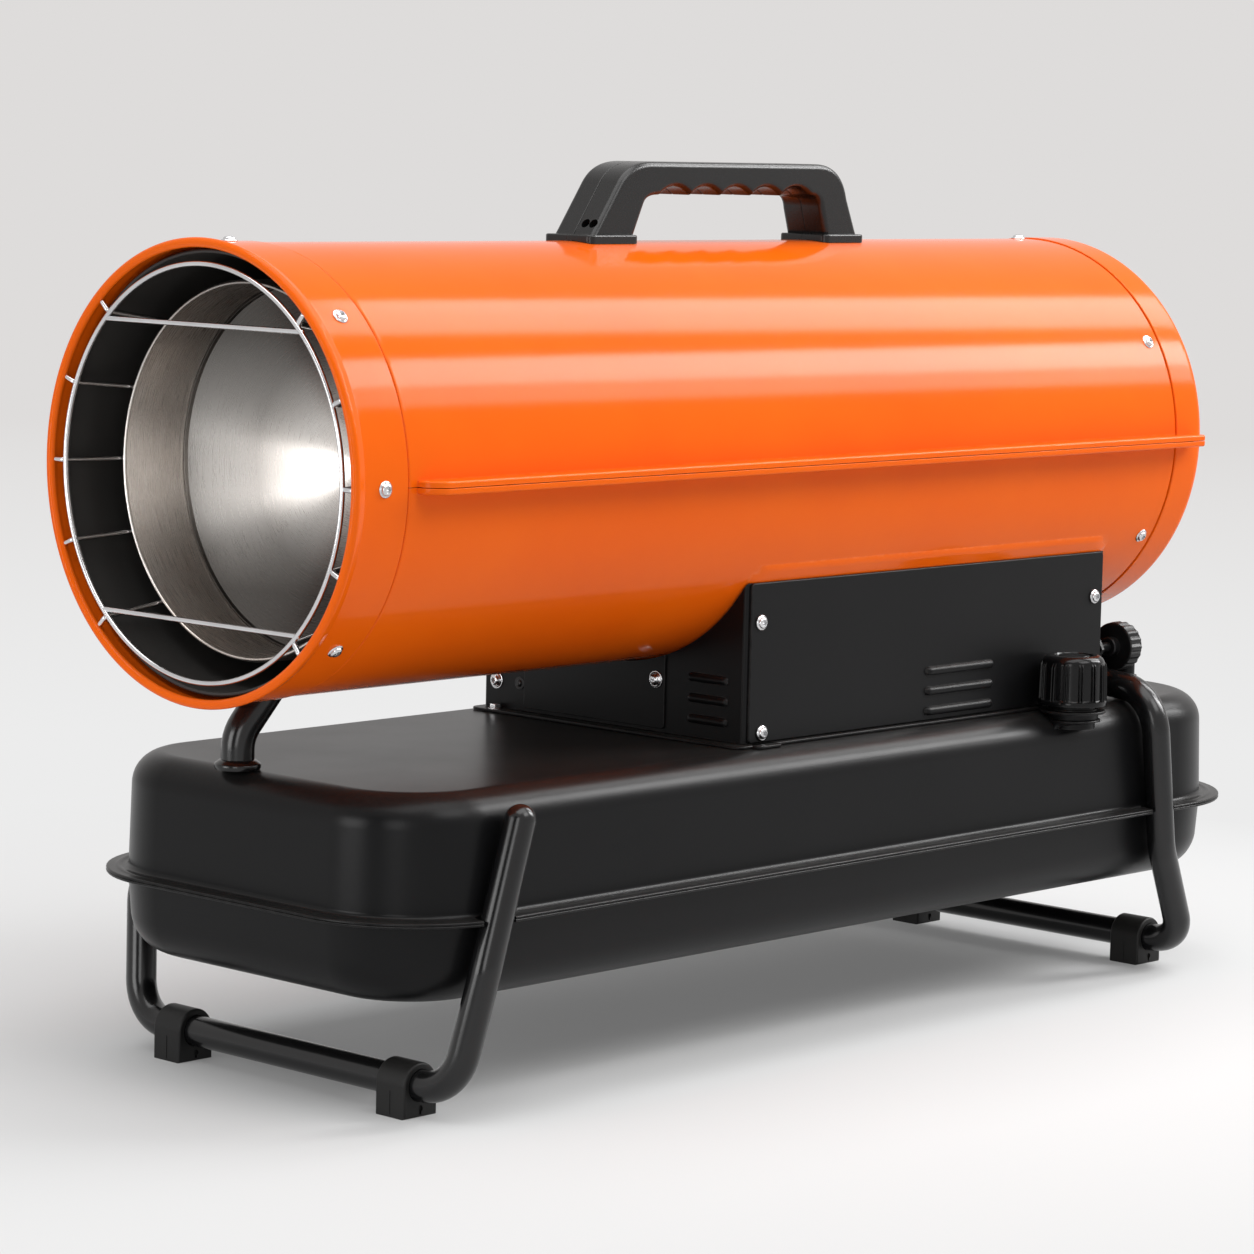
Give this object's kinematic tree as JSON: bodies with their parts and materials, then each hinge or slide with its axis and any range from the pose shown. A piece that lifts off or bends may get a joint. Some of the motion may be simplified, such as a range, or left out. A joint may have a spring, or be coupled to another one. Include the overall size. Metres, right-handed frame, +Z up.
{
  "type": "forced air heater",
  "caption": "Torpedo-shaped forced air heater: a horizontal round barrel over a flat fuel tank on bent tube legs, with a carry handle, control box and screw fuel cap.",
  "frame": {"origin": "on the floor, midway between the barrel's front rim and the tank's rear flange, on the barrel's centre plane", "axes": "+X along the barrel from the hot air outlet to the air intake, +Y away from the fuel cap's side, +Z up"},
  "size_m": [0.778, 0.2896, 0.496],
  "materials": {
    "orange_paint": "glossy orange enamel",
    "heat_black": "matt heat-proof black",
    "bright_wire": "bright plated",
    "hot_steel": "brushed, slightly heat-tinted",
    "brass": "plain machined",
    "ceramic": null,
    "black_plastic": "moulded satin black",
    "cap_plastic": "moulded glossy black",
    "handle_plastic": "moulded black with fine grain",
    "fan_aluminium": "plain sheet and casting",
    "black_steel": "satin black powder coat",
    "gloss_tube": "glossy black enamel on tube",
    "rubber": "moulded black rubber",
    "fuel_hose": "smooth black hose",
    "circuit_board": "green lacquered board"
  },
  "bodies": {
    "heater": {"front_ring": "orange_paint", "upper_shell": "orange_paint", "lower_shell": "orange_paint", "rear_ring": "orange_paint", "outlet_liner": "heat_black", "outlet_guard": "bright_wire", "combustion_chamber": "hot_steel", "flame_dish": "hot_steel", "burner_head": "hot_steel", "spray_nozzle": "brass", "igniter": "ceramic", "flame_eye": "black_plastic", "fan_motor": "black_steel", "motor_bracket": "black_steel", "air_pump": "fan_aluminium", "pump_filter": "black_plastic", "intake_grille": "black_steel", "tank_upper": "black_steel", "tank_lower": "black_steel", "filler_neck": "black_steel", "pickup_fitting": "brass", "fuel_filter": "black_plastic", "fuel_line": "fuel_hose", "base_plate": "black_steel", "control_housing": "black_steel", "side_cover": "black_steel", "front_cover": "black_steel", "ignition_transformer": "black_steel", "control_board": "circuit_board", "thermostat": "black_plastic", "bush_nut": "bright_wire", "switch_frame": "black_plastic", "power_inlet": "black_plastic", "front_leg": "gloss_tube", "rear_leg": "gloss_tube", "front_foot_near": "rubber", "front_foot_far": "rubber", "rear_foot_near": "rubber", "rear_foot_far": "rubber", "front_support": "gloss_tube", "handle_near": "handle_plastic", "handle_far": "handle_plastic"},
    "rotor": {"fan": "fan_aluminium"},
    "cap_carrier": {"cap_gasket": "rubber"},
    "cap": {"fuel_cap": "cap_plastic"},
    "knob": {"thermostat_knob": "black_plastic"},
    "rocker": {"switch_rocker": "black_plastic"}
  },
  "joints": [
    {"name": "fan_spin", "type": "hinge", "parent": "heater", "child": "rotor", "pos_m": [0.25, 0, 0.332], "axis": [1, 0, 0], "continuous": true},
    {"name": "cap_rise", "type": "slide", "parent": "heater", "child": "cap_carrier", "axis": [0, 0, 1], "range_m": [0, 0.02]},
    {"name": "cap_turn", "type": "hinge", "parent": "cap_carrier", "child": "cap", "pos_m": [0.201, -0.1226, 0.19], "axis": [0, 0, 1], "range_deg": [0, 1440]},
    {"name": "thermostat_turn", "type": "hinge", "parent": "heater", "child": "knob", "pos_m": [0.28, -0.092, 0.203], "axis": [1, 0, 0], "range_deg": [0, 270]},
    {"name": "power_switch", "type": "hinge", "parent": "heater", "child": "rocker", "pos_m": [0.258, -0.03, 0.19305], "axis": [0, 1, 0], "range_deg": [0, 14]}
  ],
  "couplings": [
    {"joint": "cap_rise", "follows": "cap_turn", "m_per_rad": 0.00079577}
  ]
}
